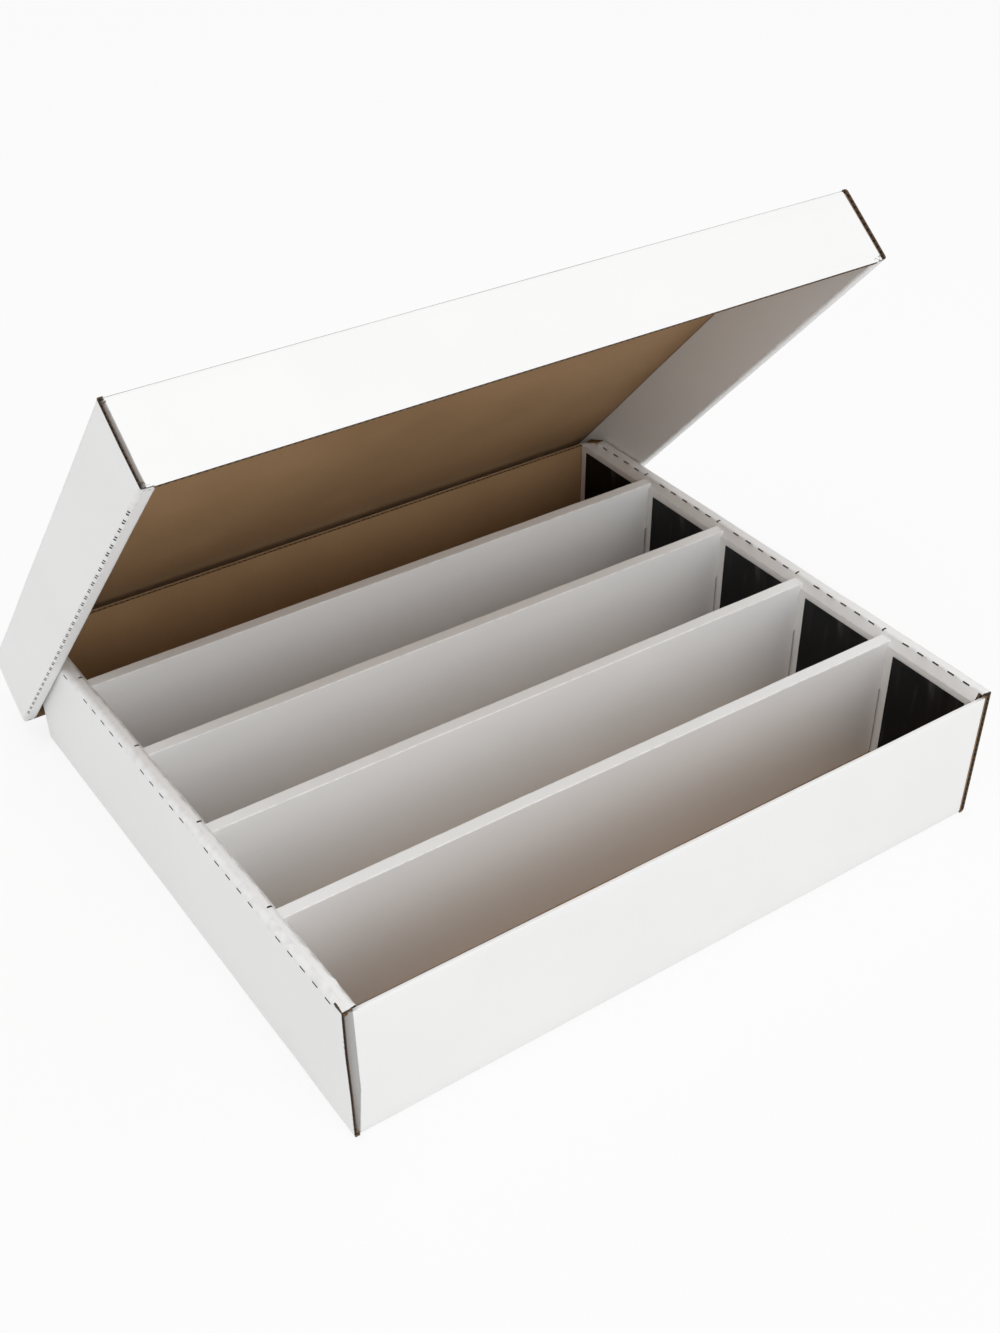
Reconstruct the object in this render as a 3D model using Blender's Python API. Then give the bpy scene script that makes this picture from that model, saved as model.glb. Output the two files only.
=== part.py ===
"""Card storage box of folded corrugated board: a tray with four divider walls, and its lid leaning open.

Metres, +Z up. The origin is the middle of the tray's underside, +X points to the end wall with the
row labels and -Y to the front. The lid is drawn closed, then turned open about its swing axis.
"""
import math

import bmesh
import bpy
from mathutils import Vector

MM = 0.001

# Board
BOARD = 3.0 * MM
CREASE_GAP = 0.3 * MM
FOLD_RADIUS = 1.2 * MM
FOLD_STEPS = 4

# Tray
TRAY_WIDTH = 485.0 * MM
TRAY_DEPTH = 426.0 * MM
TRAY_HEIGHT = 101.6 * MM
END_WALL_LEAN = 2.6 * MM
WALL_STEP = 4.0 * MM
ROLL_SHOULDER = 4.2 * MM
CORNER_TAB_DROP = 13.0 * MM
CORNER_TAB_SPARE = 16.0 * MM

# Rows and dividers
ROWS = 5
DIVIDER_HOLLOW = 3.0 * MM
DIVIDER_DROP = 3.1 * MM
DIVIDER_TAB_REACH = 3.8 * MM
DIVIDER_TAB_HEIGHT = 40.0 * MM
SLOT_SIDE_GAP = 0.6 * MM
SLOT_FOOT_GAP = 1.0 * MM
SLOT_END_GAP = 0.5 * MM

# Row labels
LABEL_THICKNESS = 0.6 * MM
LABEL_MARGIN = 6.6 * MM
LABEL_DROP = 11.6 * MM
LABEL_FOOT_GAP = 1.0 * MM

# Lid
LID_HEIGHT = 52.5 * MM
LID_HEADROOM = 3.0 * MM
LID_SIDE_GAP = 0.4 * MM
LID_BACK_GAP = 2.0 * MM
LID_FRONT_LEAN = 3.5 * MM
LID_TAB_LENGTH = 40.0 * MM
LID_OPENING = math.radians(48.5)

# Swing of the lid
AXIS_DROP = 80.0 * MM
SWING_CLEARANCE = 0.4 * MM

# Cutting and welding
CUT_OVERRUN = 8.0 * MM
WELD_DISTANCE = 0.01 * MM

# Colours and roughness
WHITE_BOARD = (0.84, 0.84, 0.83)
KRAFT_BOARD = (0.17, 0.10, 0.05)
LABEL_BLACK = (0.01, 0.01, 0.012)
BOARD_ROUGHNESS = 0.75
LABEL_ROUGHNESS = 0.25

# Levels and planes of the tray
FOOT_LEVEL = BOARD + CREASE_GAP
SHOULDER_FOOT = TRAY_HEIGHT - BOARD - WALL_STEP
LONG_WALL_TOP = SHOULDER_FOOT - CREASE_GAP
BACK_FACE = TRAY_DEPTH / 2
BACK_WALL_INNER = BACK_FACE - BOARD
END_FOOT_X = TRAY_WIDTH / 2 - END_WALL_LEAN
TAB_FOOT_X = END_FOOT_X - BOARD - CREASE_GAP
INNER_PLY_OUTSIDE = TAB_FOOT_X - BOARD - CREASE_GAP
INNER_PLY_INSIDE = INNER_PLY_OUTSIDE - BOARD

# Rows
DIVIDER_THICKNESS = 2 * BOARD + DIVIDER_HOLLOW
ROW_WIDTH = (TRAY_DEPTH - 2 * BOARD - (ROWS - 1) * DIVIDER_THICKNESS) / ROWS
ROW_PITCH = ROW_WIDTH + DIVIDER_THICKNESS
DIVIDER_TOP = TRAY_HEIGHT - DIVIDER_DROP
DIVIDER_TAB_FOOT = DIVIDER_TOP - DIVIDER_TAB_HEIGHT
DIVIDER_TAB_END = INNER_PLY_INSIDE + DIVIDER_TAB_REACH
LABEL_BACK = INNER_PLY_INSIDE - CREASE_GAP
LABEL_FACE = LABEL_BACK - LABEL_THICKNESS
DIVIDER_END = LABEL_FACE - CREASE_GAP

# The lid's panel just clears the back wall's top edge as it swings about this axis
PANEL_RADIUS = AXIS_DROP + LID_HEADROOM
SWEPT_RADIUS = PANEL_RADIUS - SWING_CLEARANCE
AXIS_Z = TRAY_HEIGHT - AXIS_DROP
AXIS_INSET = math.sqrt(SWEPT_RADIUS ** 2 - (LONG_WALL_TOP - AXIS_Z) ** 2)
AXIS_Y = BACK_FACE - AXIS_INSET
RELIEF_FRONT = AXIS_Y + math.sqrt(SWEPT_RADIUS ** 2 - AXIS_DROP ** 2)

# The lid's front wall stays outside the circle that the tray's front corners draw in the lid
FRONT_LEAN_ANGLE = math.atan(LID_FRONT_LEAN / LID_HEIGHT)
FRONT_WALL_RADIUS = math.hypot(BACK_FACE + AXIS_Y, AXIS_DROP) + SWING_CLEARANCE

# Levels and planes of the closed lid
PANEL_UNDERSIDE = TRAY_HEIGHT + LID_HEADROOM
PANEL_TOP = PANEL_UNDERSIDE + BOARD
RIM_LEVEL = PANEL_TOP - LID_HEIGHT
LID_WALL_TOP = PANEL_UNDERSIDE - CREASE_GAP
LID_PLY_TOP = RIM_LEVEL + BOARD + CREASE_GAP
LID_INNER_X = TRAY_WIDTH / 2 + LID_SIDE_GAP
LID_TAB_X = LID_INNER_X + BOARD + CREASE_GAP
LID_OUTER_PLY_X = LID_TAB_X + BOARD + CREASE_GAP
LID_OUTER_X = LID_OUTER_PLY_X + BOARD
LID_BACK_INNER = BACK_FACE + LID_BACK_GAP
LID_BACK_FACE = LID_BACK_INNER + BOARD

FACE_FORWARD = (math.radians(90), 0, 0)
FACE_SIDEWAYS = (math.radians(90), 0, math.radians(90))
ENDS = {"left": -1, "right": 1}


def clear_scene():
    """Remove every object of the starting scene."""
    for old in list(bpy.data.objects):
        bpy.data.objects.remove(old, do_unlink=True)


def new_collection(name):
    """Add a collection to the scene."""
    collection = bpy.data.collections.new(name)
    bpy.context.scene.collection.children.link(collection)
    return collection


def paint(piece, colour, roughness):
    """Give a piece its own material."""
    material = bpy.data.materials.new(piece.name)
    material.use_nodes = True
    shader = material.node_tree.nodes["Principled BSDF"]
    shader.inputs["Base Color"].default_value = (*colour, 1)
    shader.inputs["Roughness"].default_value = roughness
    shader.inputs["Metallic"].default_value = 0
    piece.data.materials.clear()
    piece.data.materials.append(material)


def box(name, collection, low, high):
    """A box between two corners, with its origin at its middle."""
    low = Vector(low)
    high = Vector(high)
    mesh = bpy.data.meshes.new(name)
    shape = bmesh.new()
    bmesh.ops.create_cube(shape, size=1)
    bmesh.ops.scale(shape, vec=high - low, verts=shape.verts)
    shape.to_mesh(mesh)
    shape.free()
    piece = bpy.data.objects.new(name, mesh)
    piece.location = (low + high) / 2
    collection.objects.link(piece)
    return piece


def plate(name, collection, outline, thickness, middle, turn):
    """A flat outline, filled and given its thickness, then turned upright."""
    curve = bpy.data.curves.new(name, "CURVE")
    curve.dimensions = "2D"
    curve.fill_mode = "BOTH"
    curve.extrude = thickness / 2
    spline = curve.splines.new("POLY")
    spline.points.add(len(outline) - 1)
    for point, (across, up) in zip(spline.points, outline):
        point.co = (across, up, 0, 1)
    spline.use_cyclic_u = True
    drawing = bpy.data.objects.new(name + "_outline", curve)
    collection.objects.link(drawing)
    evaluated = drawing.evaluated_get(bpy.context.evaluated_depsgraph_get())
    mesh = bpy.data.meshes.new_from_object(evaluated)
    mesh.name = name
    shape = bmesh.new()
    shape.from_mesh(mesh)
    bmesh.ops.remove_doubles(shape, verts=shape.verts, dist=WELD_DISTANCE)
    bmesh.ops.recalc_face_normals(shape, faces=shape.faces)
    shape.to_mesh(mesh)
    shape.free()
    bpy.data.objects.remove(drawing, do_unlink=True)
    piece = bpy.data.objects.new(name, mesh)
    piece.location = middle
    piece.rotation_euler = turn
    collection.objects.link(piece)
    return piece


def front_plate(name, collection, outline, y_low, y_high):
    """A plate whose outline is in X and Z, with its thickness along Y."""
    middle = (0, (y_low + y_high) / 2, 0)
    return plate(name, collection, outline, y_high - y_low, middle, FACE_FORWARD)


def side_plate(name, collection, outline, x_low, x_high):
    """A plate whose outline is in Y and Z, with its thickness along X."""
    middle = ((x_low + x_high) / 2, 0, 0)
    return plate(name, collection, outline, x_high - x_low, middle, FACE_SIDEWAYS)


def cut(piece, cutter):
    """Take the cutter's shape out of a piece."""
    modifier = piece.modifiers.new(cutter.name, "BOOLEAN")
    modifier.operation = "DIFFERENCE"
    modifier.solver = "EXACT"
    modifier.object = cutter


def as_cutter(piece):
    """Show a cutter as wire only."""
    piece.display_type = "WIRE"
    piece.hide_render = True
    return piece


def carry(carrier, pieces):
    """Parent pieces to an empty without moving them."""
    for piece in pieces:
        piece.location -= carrier.location
        piece.parent = carrier


def add_empty(name, collection, place):
    """An empty that pieces ride on."""
    empty = bpy.data.objects.new(name, None)
    empty.location = place
    collection.objects.link(empty)
    return empty


def mirrored(outline, side):
    """The outline of the right end, or its mirror image for the left end."""
    return [(side * across, up) for across, up in outline]


def span(side, near, far):
    """Low and high X of a piece that lies between two distances from the middle."""
    return sorted((side * near, side * far))


def end_wall_x(level):
    """Distance of a tray end wall's outer face from the middle at a level."""
    return END_FOOT_X + END_WALL_LEAN * level / TRAY_HEIGHT


def leaning_strip(outer_offset, foot, top):
    """Section of a board that stands parallel to the tray's end wall face."""
    return [
        (end_wall_x(foot) - outer_offset, foot),
        (end_wall_x(top) - outer_offset, top),
        (end_wall_x(top) - outer_offset - BOARD, top),
        (end_wall_x(foot) - outer_offset - BOARD, foot),
    ]


def divider_y(number):
    """Middle of a divider, counted from the back."""
    return (ROWS / 2 - number) * ROW_PITCH


def row_y(number):
    """Middle of a row, counted from the back."""
    return ((ROWS + 1) / 2 - number) * ROW_PITCH


def tray_floor(parts):
    """The tray's floor, inset between its four walls."""
    half_width = TAB_FOOT_X
    half_depth = BACK_WALL_INNER - CREASE_GAP
    floor = box("tray_floor", parts, (-half_width, -half_depth, 0), (half_width, half_depth, BOARD))
    paint(floor, KRAFT_BOARD, BOARD_ROUGHNESS)


def tray_long_walls(parts):
    """The front and back walls, which stand between the leaning end walls."""
    inset = BOARD + CREASE_GAP
    outline = [
        (-end_wall_x(0) + inset, 0),
        (end_wall_x(0) - inset, 0),
        (end_wall_x(LONG_WALL_TOP) - inset, LONG_WALL_TOP),
        (-end_wall_x(LONG_WALL_TOP) + inset, LONG_WALL_TOP),
    ]
    front = front_plate("tray_front_wall", parts, outline, -BACK_FACE, -BACK_WALL_INNER)
    back = front_plate("tray_back_wall", parts, outline, BACK_WALL_INNER, BACK_FACE)
    for wall in (front, back):
        paint(wall, WHITE_BOARD, BOARD_ROUGHNESS)


def tray_corner_tabs(parts):
    """Tabs of the long walls, folded in between the two plies of each end wall."""
    inner_end = BACK_WALL_INNER - ROW_WIDTH + CORNER_TAB_SPARE
    outer_end = BACK_WALL_INNER - CREASE_GAP
    top = TRAY_HEIGHT - CORNER_TAB_DROP
    for end, side in ENDS.items():
        outline = mirrored(leaning_strip(BOARD + CREASE_GAP, FOOT_LEVEL, top), side)
        front = front_plate(f"tray_corner_tab_front_{end}", parts, outline, -outer_end, -inner_end)
        back = front_plate(f"tray_corner_tab_back_{end}", parts, outline, inner_end, outer_end)
        for tab in (front, back):
            paint(tab, WHITE_BOARD, BOARD_ROUGHNESS)


def roll_outline():
    """Section of the folded crest: flat on top, then a shoulder down to the inner ply."""
    crest_x = end_wall_x(TRAY_HEIGHT)
    underside = TRAY_HEIGHT - BOARD
    slope = ROLL_SHOULDER / (TRAY_HEIGHT - SHOULDER_FOOT)
    level_thickness = BOARD * math.hypot(1, slope)
    flat_end = INNER_PLY_INSIDE + ROLL_SHOULDER
    return [
        (crest_x, TRAY_HEIGHT),
        (flat_end, TRAY_HEIGHT),
        (INNER_PLY_INSIDE, SHOULDER_FOOT),
        (INNER_PLY_INSIDE + level_thickness, SHOULDER_FOOT),
        (flat_end - BOARD * slope + level_thickness, underside),
        (end_wall_x(underside), underside),
    ]


def slot_cutter(cutters, end, side):
    """Boxes that open the slots for the divider tabs of one end wall."""
    half_width = DIVIDER_THICKNESS / 2 + SLOT_SIDE_GAP
    near, far = span(side, INNER_PLY_INSIDE - CUT_OVERRUN, DIVIDER_TAB_END + SLOT_END_GAP)
    size = Vector((far - near, 2 * half_width, DIVIDER_TAB_HEIGHT + SLOT_FOOT_GAP + CUT_OVERRUN))
    foot = DIVIDER_TAB_FOOT - SLOT_FOOT_GAP
    shape = bmesh.new()
    for number in range(1, ROWS):
        slot = bmesh.ops.create_cube(shape, size=1)["verts"]
        bmesh.ops.scale(shape, vec=size, verts=slot)
        middle = Vector(((near + far) / 2, divider_y(number), foot + size.z / 2))
        bmesh.ops.translate(shape, vec=middle, verts=slot)
    mesh = bpy.data.meshes.new(f"slots_{end}")
    shape.to_mesh(mesh)
    shape.free()
    cutter = bpy.data.objects.new(f"slots_{end}", mesh)
    cutters.objects.link(cutter)
    return as_cutter(cutter)


def relief_cutter(cutters):
    """A wedge off the back top corners of the end walls, where the lid's panel swings past."""
    start = Vector((RELIEF_FRONT, TRAY_HEIGHT))
    stop = Vector((BACK_FACE, LONG_WALL_TOP))
    beyond = (stop - start).normalized() * CUT_OVERRUN
    top_back = Vector((BACK_FACE + CUT_OVERRUN, TRAY_HEIGHT + CUT_OVERRUN))
    outline = [tuple(start - beyond), tuple(stop + beyond), tuple(top_back)]
    reach = TRAY_WIDTH / 2 + CUT_OVERRUN
    return as_cutter(side_plate("lid_relief", cutters, outline, -reach, reach))


def tray_end_walls(parts, cutters):
    """Each end wall is an outer ply, a folded crest and an inner ply that comes back down."""
    relief = relief_cutter(cutters)
    ply_end = BACK_WALL_INNER - CREASE_GAP
    for end, side in ENDS.items():
        slots = slot_cutter(cutters, end, side)
        outline = mirrored(leaning_strip(0, 0, TRAY_HEIGHT - BOARD - CREASE_GAP), side)
        outer = front_plate(f"tray_{end}_outer_ply", parts, outline, -BACK_FACE, BACK_FACE)
        cut(outer, relief)
        crest = front_plate(
            f"tray_{end}_roll_band", parts, mirrored(roll_outline(), side), -BACK_FACE, BACK_FACE
        )
        cut(crest, slots)
        cut(crest, relief)
        near, far = span(side, INNER_PLY_INSIDE, INNER_PLY_OUTSIDE)
        inner = box(
            f"tray_{end}_inner_ply", parts, (near, -ply_end, FOOT_LEVEL), (far, ply_end, LONG_WALL_TOP)
        )
        cut(inner, slots)
        for ply in (outer, crest, inner):
            paint(ply, WHITE_BOARD, BOARD_ROUGHNESS)


def row_labels(parts):
    """A black label on the right end wall's inner ply in every row."""
    half_width = ROW_WIDTH / 2 - LABEL_MARGIN
    foot = FOOT_LEVEL + LABEL_FOOT_GAP
    top = TRAY_HEIGHT - LABEL_DROP
    for number in range(1, ROWS + 1):
        middle = row_y(number)
        low = (LABEL_FACE, middle - half_width, foot)
        high = (LABEL_BACK, middle + half_width, top)
        label = box(f"row_label_{number}", parts, low, high)
        paint(label, LABEL_BLACK, LABEL_ROUGHNESS)


def leaf_outline():
    """One leaf of a divider: a panel with a tab at each end."""
    fold_line = DIVIDER_TOP - BOARD - CREASE_GAP
    right = [
        (DIVIDER_END, FOOT_LEVEL),
        (DIVIDER_END, DIVIDER_TAB_FOOT),
        (DIVIDER_TAB_END, DIVIDER_TAB_FOOT),
        (DIVIDER_TAB_END, fold_line),
    ]
    return right + mirrored(reversed(right), -1)


def fold_outline(middle):
    """Section of a divider's top fold, with its two upper edges rounded."""
    half_width = DIVIDER_THICKNESS / 2
    foot = DIVIDER_TOP - BOARD
    radius = min(FOLD_RADIUS, BOARD)
    outline = [(middle - half_width, foot), (middle + half_width, foot)]
    for centre, start in ((middle + half_width - radius, 0), (middle - half_width + radius, 1)):
        for step in range(FOLD_STEPS + 1):
            angle = math.pi / 2 * (start + step / FOLD_STEPS)
            outline.append((centre + radius * math.cos(angle), DIVIDER_TOP - radius + radius * math.sin(angle)))
    return outline


def dividers(parts):
    """Folded divider walls, each riding on an empty that lifts straight up."""
    half_width = DIVIDER_THICKNESS / 2
    for number in range(1, ROWS):
        middle = divider_y(number)
        name = f"divider_{number}"
        front = front_plate(
            f"{name}_front_leaf", parts, leaf_outline(), middle - half_width, middle - half_width + BOARD
        )
        back = front_plate(
            f"{name}_back_leaf", parts, leaf_outline(), middle + half_width - BOARD, middle + half_width
        )
        fold = side_plate(
            f"{name}_top_fold", parts, fold_outline(middle), -DIVIDER_TAB_END, DIVIDER_TAB_END
        )
        for piece in (front, back, fold):
            paint(piece, WHITE_BOARD, BOARD_ROUGHNESS)
        carrier = add_empty(f"{name}_lift", parts, Vector((0, middle, FOOT_LEVEL)))
        carry(carrier, (front, back, fold))


def lid_front_y(level, outward=0):
    """Y of the lid's leaning front wall at a level; outward is measured square to the wall."""
    radius = FRONT_WALL_RADIUS + outward
    drop = (level - AXIS_Z) * math.sin(FRONT_LEAN_ANGLE)
    return AXIS_Y - (radius - drop) / math.cos(FRONT_LEAN_ANGLE)


def lid_side_outline(foot, top, front_outward, back):
    """Outline in Y and Z of a board that runs back from the leaning front wall."""
    return [
        (lid_front_y(foot, front_outward), foot),
        (back, foot),
        (back, top),
        (lid_front_y(top, front_outward), top),
    ]


def lid_top_panel(parts):
    """The lid's flat panel, out to the outer faces of all four walls."""
    outline = lid_side_outline(PANEL_UNDERSIDE, PANEL_TOP, BOARD, LID_BACK_FACE)
    panel = side_plate("lid_top_panel", parts, outline, -LID_OUTER_X, LID_OUTER_X)
    paint(panel, KRAFT_BOARD, BOARD_ROUGHNESS)
    return [panel]


def lid_long_walls(parts):
    """The lid's front wall, which leans out to the rim, and its upright back wall."""
    half_width = LID_OUTER_PLY_X - CREASE_GAP
    front_outline = [
        (lid_front_y(RIM_LEVEL, BOARD), RIM_LEVEL),
        (lid_front_y(RIM_LEVEL), RIM_LEVEL),
        (lid_front_y(LID_WALL_TOP), LID_WALL_TOP),
        (lid_front_y(LID_WALL_TOP, BOARD), LID_WALL_TOP),
    ]
    front = side_plate("lid_front_wall", parts, front_outline, -half_width, half_width)
    back = box(
        "lid_back_wall",
        parts,
        (-half_width, LID_BACK_INNER, RIM_LEVEL),
        (half_width, LID_BACK_FACE, LID_WALL_TOP),
    )
    for wall in (front, back):
        paint(wall, WHITE_BOARD, BOARD_ROUGHNESS)
    return [front, back]


def lid_corner_tabs(parts):
    """Tabs of the lid's long walls, folded in between the two plies of each end wall."""
    tabs = []
    for end, side in ENDS.items():
        near, far = span(side, LID_TAB_X, LID_TAB_X + BOARD)
        front_end = lid_front_y(LID_PLY_TOP, -CREASE_GAP) + LID_TAB_LENGTH
        outline = lid_side_outline(LID_PLY_TOP, LID_WALL_TOP, -CREASE_GAP, front_end)
        tabs.append(side_plate(f"lid_corner_tab_front_{end}", parts, outline, near, far))
        back_end = LID_BACK_INNER - CREASE_GAP
        low = (near, back_end - LID_TAB_LENGTH, LID_PLY_TOP)
        high = (far, back_end, LID_WALL_TOP)
        tabs.append(box(f"lid_corner_tab_back_{end}", parts, low, high))
    for tab in tabs:
        paint(tab, WHITE_BOARD, BOARD_ROUGHNESS)
    return tabs


def lid_end_walls(parts):
    """Each end wall is an outer ply, a folded rim and an inner ply that goes back up."""
    plies = []
    wall_end = LID_BACK_INNER - CREASE_GAP
    for end, side in ENDS.items():
        near, far = span(side, LID_OUTER_PLY_X, LID_OUTER_X)
        outline = lid_side_outline(RIM_LEVEL, LID_WALL_TOP, BOARD, LID_BACK_FACE)
        plies.append(side_plate(f"lid_{end}_outer_ply", parts, outline, near, far))
        near, far = span(side, LID_INNER_X, LID_OUTER_PLY_X - CREASE_GAP)
        outline = lid_side_outline(RIM_LEVEL, RIM_LEVEL + BOARD, -CREASE_GAP, wall_end)
        plies.append(side_plate(f"lid_{end}_roll_band", parts, outline, near, far))
        near, far = span(side, LID_INNER_X, LID_INNER_X + BOARD)
        outline = lid_side_outline(LID_PLY_TOP, LID_WALL_TOP, -CREASE_GAP, wall_end)
        plies.append(side_plate(f"lid_{end}_inner_ply", parts, outline, near, far))
    for ply in plies:
        paint(ply, WHITE_BOARD, BOARD_ROUGHNESS)
    return plies


def lid(parts):
    """The whole lid, drawn closed and then turned open about its swing axis."""
    pieces = lid_top_panel(parts) + lid_long_walls(parts) + lid_corner_tabs(parts) + lid_end_walls(parts)
    swing = add_empty("lid_swing", parts, Vector((0, AXIS_Y, AXIS_Z)))
    carry(swing, pieces)
    swing.rotation_euler.x = -LID_OPENING


def main():
    """Build the box."""
    clear_scene()
    parts = new_collection("card_storage_box")
    cutters = new_collection("cutters")
    tray_floor(parts)
    tray_long_walls(parts)
    tray_corner_tabs(parts)
    tray_end_walls(parts, cutters)
    row_labels(parts)
    dividers(parts)
    lid(parts)


main()
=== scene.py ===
# %% [markdown]
# # Card storage box of folded board
# The box is a shallow tray with five rows for standing cards, four folded divider walls, black row labels
# and a deep lid that leans open behind it. Every part is corrugated board: two paper liners with a wavy
# paper between them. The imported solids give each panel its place. This lesson folds real board around them.

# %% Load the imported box
import math

import bpy
from mathutils import Matrix, Vector, noise


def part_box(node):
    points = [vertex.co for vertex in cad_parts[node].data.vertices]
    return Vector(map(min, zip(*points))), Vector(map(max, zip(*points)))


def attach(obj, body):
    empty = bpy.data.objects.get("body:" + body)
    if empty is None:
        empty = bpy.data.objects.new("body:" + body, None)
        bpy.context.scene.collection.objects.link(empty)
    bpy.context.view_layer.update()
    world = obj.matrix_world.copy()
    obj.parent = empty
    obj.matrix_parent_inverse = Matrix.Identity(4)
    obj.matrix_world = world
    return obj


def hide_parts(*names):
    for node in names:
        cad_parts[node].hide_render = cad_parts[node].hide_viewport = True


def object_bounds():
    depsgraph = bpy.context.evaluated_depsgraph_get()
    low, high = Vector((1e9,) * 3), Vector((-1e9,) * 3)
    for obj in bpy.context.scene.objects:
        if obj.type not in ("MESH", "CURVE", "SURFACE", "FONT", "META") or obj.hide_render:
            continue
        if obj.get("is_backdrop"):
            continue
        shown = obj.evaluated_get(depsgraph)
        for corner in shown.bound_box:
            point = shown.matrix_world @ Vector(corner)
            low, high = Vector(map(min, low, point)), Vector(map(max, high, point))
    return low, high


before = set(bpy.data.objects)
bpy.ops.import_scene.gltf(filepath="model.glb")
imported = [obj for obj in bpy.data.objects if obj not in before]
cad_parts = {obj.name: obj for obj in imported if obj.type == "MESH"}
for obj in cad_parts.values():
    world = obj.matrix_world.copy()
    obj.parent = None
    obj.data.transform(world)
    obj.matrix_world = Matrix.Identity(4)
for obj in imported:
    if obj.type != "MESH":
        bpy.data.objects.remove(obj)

cad_low, cad_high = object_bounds()
print("packed box", [round(v, 4) for v in cad_high - cad_low])

# %% [markdown]
# ## The camera
# The photograph looks down into the box from its front left. Its lens, place and turn were worked out from
# the corners of the tray and the lid, so the camera takes them as they are.

# %% Camera at the photograph's view
camera_data = bpy.data.cameras.new("camera")
camera_data.lens = 45.22
camera_data.clip_start = 0.05
camera_data.clip_end = 50
camera = bpy.data.objects.new("camera", camera_data)
bpy.context.scene.collection.objects.link(camera)
CAMERA_PLACE = Vector((-0.51057, -0.74275, 0.74980))
CAMERA_RIGHT = Vector((0.822527, -0.568725, 0.001207))
CAMERA_UP = Vector((0.334196, 0.485051, 0.808108))
turn = Matrix((CAMERA_RIGHT, CAMERA_UP, CAMERA_RIGHT.cross(CAMERA_UP))).transposed()
camera.matrix_world = Matrix.Translation(CAMERA_PLACE) @ turn.to_4x4()
bpy.context.scene.camera = camera
print("camera stands", round(CAMERA_PLACE.length, 3), "m from the box")

# %% [markdown]
# ## Sizes of the board
# Everything below is written in millimetres, because that is how a box maker draws it, and MM turns it into
# Blender's metres. A 3 mm board has liners of about 0.4 mm, and its wavy middle paper repeats every 4.2 mm.

# %% Board sizes
MM = 0.001
BOARD = 3.0
LINER = 0.4
MEDIUM = 0.22
FLUTE = 4.2
FLUTE_STEPS = 8
FLUTE_DEPTH = 9.0
print("the middle paper's wave is", round(BOARD - 2 * LINER - MEDIUM, 2), "mm high")


def corner(node, high):
    """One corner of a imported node, in millimetres."""
    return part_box(node)[high] / MM


CREST_X = corner("tray_right_outer_ply", 1).x
CREST_Z = corner("tray_right_roll_band", 1).z
FACE_Y = corner("tray_back_wall", 1).y
WALL_TOP = corner("tray_back_wall", 1).z
PLY_X = corner("tray_right_inner_ply", 0).x
FOOT_Z = corner("tray_right_inner_ply", 0).z
PLY_END_Y = corner("tray_right_inner_ply", 1).y
FOOT_X = 239.9
FLAT_END_X = 234.5
SHOULDER_Z = 94.6
print("tray", round(2 * CREST_X, 1), "x", round(2 * FACE_Y, 1), "x", round(CREST_Z, 1), "mm")

# %% [markdown]
# ## Paper grain
# Coated board is never one flat colour. Paper fibres make a fine grain, the coat is a little cloudy, and the
# waves under the liner show as faint stripes: a bump in the surface, and a faint painted shade of the ridges
# in the tone. White, kraft and cut edges all have this, so it is one node group with its own values in each
# material. It reads a UV map that is laid out flat in metres, as the board was before it was folded, so the
# stripes follow every fold.

# %% Node group for paper grain
def new_socket(group, name, direction, kind, value=None):
    """Add a named socket to a node group."""
    socket = group.interface.new_socket(name=name, in_out=direction, socket_type=kind)
    if value is not None:
        socket.default_value = value
    return socket


def link(tree, source, output, target, socket):
    """Join two nodes."""
    tree.links.new(source.outputs[output], target.inputs[socket])


def maths(tree, operation, *values):
    """A Math node; a value is a number or a (node, output) pair."""
    node = tree.nodes.new("ShaderNodeMath")
    node.operation = operation
    for index, value in enumerate(values):
        if isinstance(value, tuple):
            link(tree, value[0], value[1], node, index)
        else:
            node.inputs[index].default_value = value
    return node


grain = bpy.data.node_groups.new("paper_grain", "ShaderNodeTree")
new_socket(grain, "Flat Board", "INPUT", "NodeSocketVector")
new_socket(grain, "Stripes", "INPUT", "NodeSocketFloat", 0.5)
new_socket(grain, "Fibres", "INPUT", "NodeSocketFloat", 0.5)
new_socket(grain, "Tone", "OUTPUT", "NodeSocketFloat")
new_socket(grain, "Fleck", "OUTPUT", "NodeSocketFloat")
new_socket(grain, "Height", "OUTPUT", "NodeSocketFloat")
grain_in = grain.nodes.new("NodeGroupInput")
grain_out = grain.nodes.new("NodeGroupOutput")
cloud = grain.nodes.new("ShaderNodeTexNoise")
cloud.inputs["Scale"].default_value = 9
cloud.inputs["Detail"].default_value = 4
link(grain, grain_in, "Flat Board", cloud, "Vector")
stretch = grain.nodes.new("ShaderNodeMapping")
stretch.inputs["Scale"].default_value = (1, 0.25, 1)
link(grain, grain_in, "Flat Board", stretch, "Vector")
fibre = grain.nodes.new("ShaderNodeTexNoise")
fibre.inputs["Scale"].default_value = 1500
fibre.inputs["Detail"].default_value = 3
link(grain, stretch, "Vector", fibre, "Vector")
fleck = grain.nodes.new("ShaderNodeTexNoise")
fleck.inputs["Scale"].default_value = 420
fleck.inputs["Detail"].default_value = 2
link(grain, stretch, "Vector", fleck, "Vector")
axes = grain.nodes.new("ShaderNodeSeparateXYZ")
link(grain, grain_in, "Flat Board", axes, "Vector")
turns = maths(grain, "MULTIPLY", (axes, "X"), 2 * math.pi / (FLUTE * MM))
wave = maths(grain, "SINE", (turns, 0))
striped = maths(grain, "MULTIPLY", (wave, 0), (grain_in, "Stripes"))
fibred = maths(grain, "MULTIPLY", (fibre, 0), (grain_in, "Fibres"))
# The stripes in the tone are painted shade of the flute ridges; in the height they are the ridges' bump.
tone_sum = maths(grain, "MULTIPLY_ADD", (striped, 0), 0.12, (cloud, 0))
tone = maths(grain, "MULTIPLY_ADD", (fibred, 0), 0.3, (tone_sum, 0))
height = maths(grain, "MULTIPLY_ADD", (striped, 0), 0.5, (fibred, 0))
link(grain, tone, 0, grain_out, "Tone")
link(grain, fleck, 0, grain_out, "Fleck")
link(grain, height, 0, grain_out, "Height")
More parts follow.
